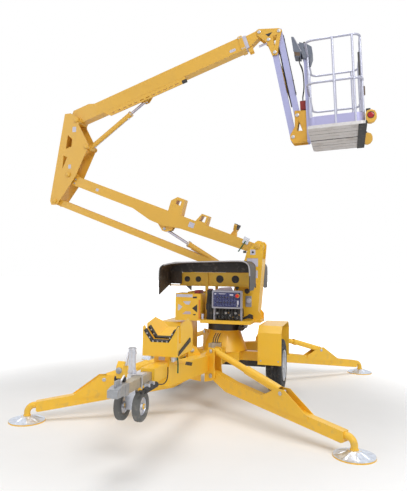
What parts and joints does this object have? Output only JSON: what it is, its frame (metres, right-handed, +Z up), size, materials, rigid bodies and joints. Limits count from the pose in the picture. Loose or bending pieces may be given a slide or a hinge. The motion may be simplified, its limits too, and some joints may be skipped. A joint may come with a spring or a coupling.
{
  "type": "towable boom lift",
  "caption": "Towable articulating boom lift on spread outriggers, with a folding riser, telescopic boom, jib and railed work platform, and its hoods open.",
  "frame": {"origin": "centre of the lift's whole footprint box, on the ground under the outrigger pads", "axes": "+Z up, -Y towards the tow coupler, +X towards the work platform as the boom stands across the trailer"},
  "size_m": [4.7048, 5.5064, 4.95],
  "materials": {
    "yellow_paint": "gloss",
    "orange_paint": "gloss",
    "grey_paint": "satin",
    "black_paint": "satin",
    "hood_paint": "gloss",
    "blue_panel": "satin",
    "galvanised": "matte",
    "polished_rod": "polished",
    "bare_steel": "satin",
    "jib_aluminium": "satin",
    "pad_rubber": "matte",
    "tyre_rubber": "matte",
    "jockey_rubber": "matte",
    "battery_case": "matte",
    "grey_box": "satin",
    "lamp_lens": "gloss"
  },
  "bodies": {
    "chassis": {"chassis_frame": "yellow_paint", "rest_pads": "pad_rubber", "drawbar": "galvanised", "coupler": "bare_steel", "jack_tube": "galvanised", "axle": "black_paint", "fender_left": "yellow_paint", "fender_right": "yellow_paint", "slew_ring": "black_paint"},
    "wheel_left": {"tyre_left": "tyre_rubber", "rim_left": "grey_paint"},
    "wheel_right": {"tyre_right": "tyre_rubber", "rim_right": "grey_paint"},
    "jack_leg": {"jack_leg": "galvanised"},
    "jockey_fork": {"jockey_fork": "galvanised"},
    "jockey_wheels": {"jockey_wheels": "jockey_rubber"},
    "turntable": {"turntable": "yellow_paint", "battery_box": "yellow_paint", "batteries": "battery_case", "control_panel": "blue_panel", "hydraulic_unit": "black_paint"},
    "hood_near": {"hood_near": "hood_paint"},
    "hood_far": {"hood_far": "hood_paint"},
    "riser": {"riser": "yellow_paint"},
    "level_link": {"level_link": "yellow_paint"},
    "knuckle": {"knuckle": "yellow_paint"},
    "riser_barrel": {"riser_barrel": "yellow_paint"},
    "riser_rod": {"riser_rod": "polished_rod"},
    "main_boom": {"main_boom": "orange_paint", "cable_tray": "orange_paint"},
    "boom_barrel": {"boom_barrel": "yellow_paint"},
    "boom_rod": {"boom_rod": "polished_rod"},
    "fly_boom": {"fly_boom": "orange_paint"},
    "jib_head": {"jib_head": "yellow_paint"},
    "level_rod": {"level_rod": "polished_rod"},
    "jib_upper_arm": {"jib_upper_arm": "jib_aluminium"},
    "jib_lower_arm": {"jib_lower_arm": "jib_aluminium"},
    "jib_barrel": {"jib_barrel": "orange_paint"},
    "jib_rod": {"jib_rod": "polished_rod"},
    "platform": {"platform_bracket": "yellow_paint", "platform_deck": "jib_aluminium", "platform_rails": "jib_aluminium", "platform_control": "grey_box", "valve_block": "battery_case", "tail_lamps": "yellow_paint"},
    "gate": {"gate": "jib_aluminium"},
    "outrigger_front_left": {"outrigger_front_left": "yellow_paint"},
    "outrigger_barrel_front_left": {"outrigger_barrel_front_left": "yellow_paint"},
    "outrigger_rod_front_left": {"outrigger_rod_front_left": "polished_rod"},
    "outrigger_front_right": {"outrigger_front_right": "yellow_paint"},
    "outrigger_barrel_front_right": {"outrigger_barrel_front_right": "yellow_paint"},
    "outrigger_rod_front_right": {"outrigger_rod_front_right": "polished_rod"},
    "outrigger_rear_left": {"outrigger_rear_left": "yellow_paint"},
    "outrigger_barrel_rear_left": {"outrigger_barrel_rear_left": "yellow_paint"},
    "outrigger_rod_rear_left": {"outrigger_rod_rear_left": "polished_rod"},
    "outrigger_rear_right": {"outrigger_rear_right": "yellow_paint"},
    "outrigger_barrel_rear_right": {"outrigger_barrel_rear_right": "yellow_paint"},
    "outrigger_rod_rear_right": {"outrigger_rod_rear_right": "polished_rod"}
  },
  "joints": [
    {"name": "wheel_left_spin", "type": "hinge", "parent": "chassis", "child": "wheel_left", "pos_m": [1.0711, 0.7127, 0.385], "axis": [1, 0, 0], "continuous": true},
    {"name": "wheel_right_spin", "type": "hinge", "parent": "chassis", "child": "wheel_right", "pos_m": [-0.3479, 0.7127, 0.385], "axis": [1, 0, 0], "continuous": true},
    {"name": "jack_extend", "type": "slide", "parent": "chassis", "child": "jack_leg", "axis": [0, 0, -1], "range_m": [0, 0.25]},
    {"name": "jockey_swivel", "type": "hinge", "parent": "jack_leg", "child": "jockey_fork", "pos_m": [0.2856, -2.2373, 0.6], "axis": [0, 0, 1], "continuous": true},
    {"name": "jockey_spin", "type": "hinge", "parent": "jockey_fork", "child": "jockey_wheels", "pos_m": [0.2856, -2.2373, 0.53], "axis": [1, 0, 0], "continuous": true},
    {"name": "outrigger_front_left_fold", "type": "hinge", "parent": "chassis", "child": "outrigger_front_left", "pos_m": [0.5096, -0.3923, 0.43], "axis": [0.5255, 0.8508, 0], "range_deg": [-78, 0]},
    {"name": "outrigger_barrel_front_left_turn", "type": "hinge", "parent": "chassis", "child": "outrigger_barrel_front_left", "pos_m": [0.5096, -0.3923, 0.705], "axis": [0.5255, 0.8508, 0], "range_deg": [-88.56, 0.1]},
    {"name": "outrigger_rod_front_left_slide", "type": "slide", "parent": "outrigger_barrel_front_left", "child": "outrigger_rod_front_left", "axis": [0.8165, -0.5043, -0.2812], "range_m": [-0.30768, 0.0005]},
    {"name": "outrigger_front_right_fold", "type": "hinge", "parent": "chassis", "child": "outrigger_front_right", "pos_m": [0.2136, -0.3923, 0.43], "axis": [0.5255, -0.8508, 0], "range_deg": [-78, 0]},
    {"name": "outrigger_barrel_front_right_turn", "type": "hinge", "parent": "chassis", "child": "outrigger_barrel_front_right", "pos_m": [0.2136, -0.3923, 0.705], "axis": [0.5255, -0.8508, 0], "range_deg": [-88.56, 0.1]},
    {"name": "outrigger_rod_front_right_slide", "type": "slide", "parent": "outrigger_barrel_front_right", "child": "outrigger_rod_front_right", "axis": [-0.8165, -0.5043, -0.2812], "range_m": [-0.30768, 0.0005]},
    {"name": "outrigger_rear_left_fold", "type": "hinge", "parent": "chassis", "child": "outrigger_rear_left", "pos_m": [0.7916, 1.3967, 0.43], "axis": [-0.6481, 0.7615, 0], "range_deg": [-78, 0]},
    {"name": "outrigger_barrel_rear_left_turn", "type": "hinge", "parent": "chassis", "child": "outrigger_barrel_rear_left", "pos_m": [0.7916, 1.3967, 0.705], "axis": [-0.6481, 0.7615, 0], "range_deg": [-88.56, 0.1]},
    {"name": "outrigger_rod_rear_left_slide", "type": "slide", "parent": "outrigger_barrel_rear_left", "child": "outrigger_rod_rear_left", "axis": [0.7308, 0.622, -0.2812], "range_m": [-0.30768, 0.0005]},
    {"name": "outrigger_rear_right_fold", "type": "hinge", "parent": "chassis", "child": "outrigger_rear_right", "pos_m": [-0.0684, 1.3967, 0.43], "axis": [-0.6481, -0.7615, 0], "range_deg": [-78, 0]},
    {"name": "outrigger_barrel_rear_right_turn", "type": "hinge", "parent": "chassis", "child": "outrigger_barrel_rear_right", "pos_m": [-0.0684, 1.3967, 0.705], "axis": [-0.6481, -0.7615, 0], "range_deg": [-88.56, 0.1]},
    {"name": "outrigger_rod_rear_right_slide", "type": "slide", "parent": "outrigger_barrel_rear_right", "child": "outrigger_rod_rear_right", "axis": [-0.7308, 0.622, -0.2812], "range_m": [-0.30768, 0.0005]},
    {"name": "slew", "type": "hinge", "parent": "chassis", "child": "turntable", "pos_m": [0.3616, 0.7127, 0.945], "axis": [0, 0, -1], "range_deg": [-90, 269]},
    {"name": "hood_near_lift", "type": "hinge", "parent": "turntable", "child": "hood_near", "pos_m": [0.3616, 0.4507, 1.425], "axis": [-1, 0, 0], "range_deg": [-90, 0]},
    {"name": "hood_far_lift", "type": "hinge", "parent": "turntable", "child": "hood_far", "pos_m": [0.3616, 0.9747, 1.425], "axis": [1, 0, 0], "range_deg": [-90, 0]},
    {"name": "riser_lift", "type": "hinge", "parent": "turntable", "child": "riser", "pos_m": [0.8246, 0.7127, 1.959], "axis": [0, 1, 0], "range_deg": [-30.6, 37.4]},
    {"name": "level_link_turn", "type": "hinge", "parent": "turntable", "child": "level_link", "pos_m": [0.6106, 0.7127, 1.566], "axis": [0, 1, 0], "range_deg": [-30.7, 37.5]},
    {"name": "knuckle_level", "type": "hinge", "parent": "riser", "child": "knuckle", "pos_m": [-2.0534, 0.7127, 3.039], "axis": [0, 1, 0], "range_deg": [-37.5, 30.7]},
    {"name": "riser_barrel_turn", "type": "hinge", "parent": "turntable", "child": "riser_barrel", "pos_m": [0.6916, 0.7127, 1.464], "axis": [0, 1, 0], "range_deg": [-27.26, 33.29]},
    {"name": "riser_rod_slide", "type": "slide", "parent": "riser_barrel", "child": "riser_rod", "axis": [-0.8536, 0, 0.521], "range_m": [-0.25819, 0.31545]},
    {"name": "boom_lift", "type": "hinge", "parent": "knuckle", "child": "main_boom", "pos_m": [-1.9354, 0.7127, 3.863], "axis": [0, -1, 0], "range_deg": [-22.4, 56]},
    {"name": "boom_barrel_turn", "type": "hinge", "parent": "knuckle", "child": "boom_barrel", "pos_m": [-1.7584, 0.7127, 3.45], "axis": [0, -1, 0], "range_deg": [-18.83, 46.92]},
    {"name": "boom_rod_slide", "type": "slide", "parent": "boom_barrel", "child": "boom_rod", "axis": [0.8059, 0, 0.5921], "range_m": [-0.16435, 0.41012]},
    {"name": "fly_extend", "type": "slide", "parent": "main_boom", "child": "fly_boom", "axis": [0.9461, 0, 0.3239], "range_m": [0, 1.6]},
    {"name": "jib_head_level", "type": "hinge", "parent": "fly_boom", "child": "jib_head", "pos_m": [0.8166, 0.7127, 4.905], "axis": [0, -1, 0], "range_deg": [-56.1, 22.5]},
    {"name": "level_rod_turn", "type": "hinge", "parent": "jib_head", "child": "level_rod", "pos_m": [0.9466, 0.7127, 4.785], "axis": [0, -1, 0], "range_deg": [-22.5, 56.1]},
    {"name": "jib_lift", "type": "hinge", "parent": "jib_head", "child": "jib_upper_arm", "pos_m": [1.0866, 0.7127, 4.89], "axis": [0, -1, 0], "range_deg": [-3, 130]},
    {"name": "jib_lower_turn", "type": "hinge", "parent": "jib_head", "child": "jib_lower_arm", "pos_m": [1.0336, 0.7127, 4.6], "axis": [0, -1, 0], "range_deg": [-3.1, 130.1]},
    {"name": "jib_barrel_turn", "type": "hinge", "parent": "jib_head", "child": "jib_barrel", "pos_m": [1.0336, 0.7127, 4.6], "axis": [0, -1, 0], "range_deg": [-3.08, 129.02]},
    {"name": "jib_rod_slide", "type": "slide", "parent": "jib_barrel", "child": "jib_rod", "axis": [0.3231, 0, -0.9464], "range_m": [-0.01265, 0.52689]},
    {"name": "platform_level", "type": "hinge", "parent": "jib_upper_arm", "child": "platform", "pos_m": [1.33734, 0.7127, 3.71035], "axis": [0, -1, 0], "range_deg": [-130.1, 3.1]},
    {"name": "gate_swing", "type": "hinge", "parent": "platform", "child": "gate", "pos_m": [2.17824, 0.4277, 3.39736], "axis": [-0.0471, 0, 0.9989], "range_deg": [0, 90]}
  ],
  "couplings": [
    {"joint": "outrigger_barrel_front_left_turn", "follows": "outrigger_front_left_fold", "ratio": 1.1341},
    {"joint": "outrigger_rod_front_left_slide", "follows": "outrigger_front_left_fold", "m_per_rad": 0.22564},
    {"joint": "outrigger_barrel_front_right_turn", "follows": "outrigger_front_right_fold", "ratio": 1.1341},
    {"joint": "outrigger_rod_front_right_slide", "follows": "outrigger_front_right_fold", "m_per_rad": 0.22564},
    {"joint": "outrigger_barrel_rear_left_turn", "follows": "outrigger_rear_left_fold", "ratio": 1.1341},
    {"joint": "outrigger_rod_rear_left_slide", "follows": "outrigger_rear_left_fold", "m_per_rad": 0.22564},
    {"joint": "outrigger_barrel_rear_right_turn", "follows": "outrigger_rear_right_fold", "ratio": 1.1341},
    {"joint": "outrigger_rod_rear_right_slide", "follows": "outrigger_rear_right_fold", "m_per_rad": 0.22564},
    {"joint": "level_link_turn", "follows": "riser_lift", "ratio": 1},
    {"joint": "knuckle_level", "follows": "riser_lift", "ratio": -1},
    {"joint": "riser_barrel_turn", "follows": "riser_lift", "ratio": 0.8875},
    {"joint": "riser_rod_slide", "follows": "riser_lift", "m_per_rad": 0.4825},
    {"joint": "boom_barrel_turn", "follows": "boom_lift", "ratio": 0.836},
    {"joint": "boom_rod_slide", "follows": "boom_lift", "m_per_rad": 0.4191},
    {"joint": "jib_head_level", "follows": "boom_lift", "ratio": -1},
    {"joint": "level_rod_turn", "follows": "boom_lift", "ratio": 1},
    {"joint": "jib_lower_turn", "follows": "jib_lift", "ratio": 1},
    {"joint": "jib_barrel_turn", "follows": "jib_lift", "ratio": 0.9917},
    {"joint": "jib_rod_slide", "follows": "jib_lift", "m_per_rad": 0.232},
    {"joint": "platform_level", "follows": "jib_lift", "ratio": -1}
  ]
}
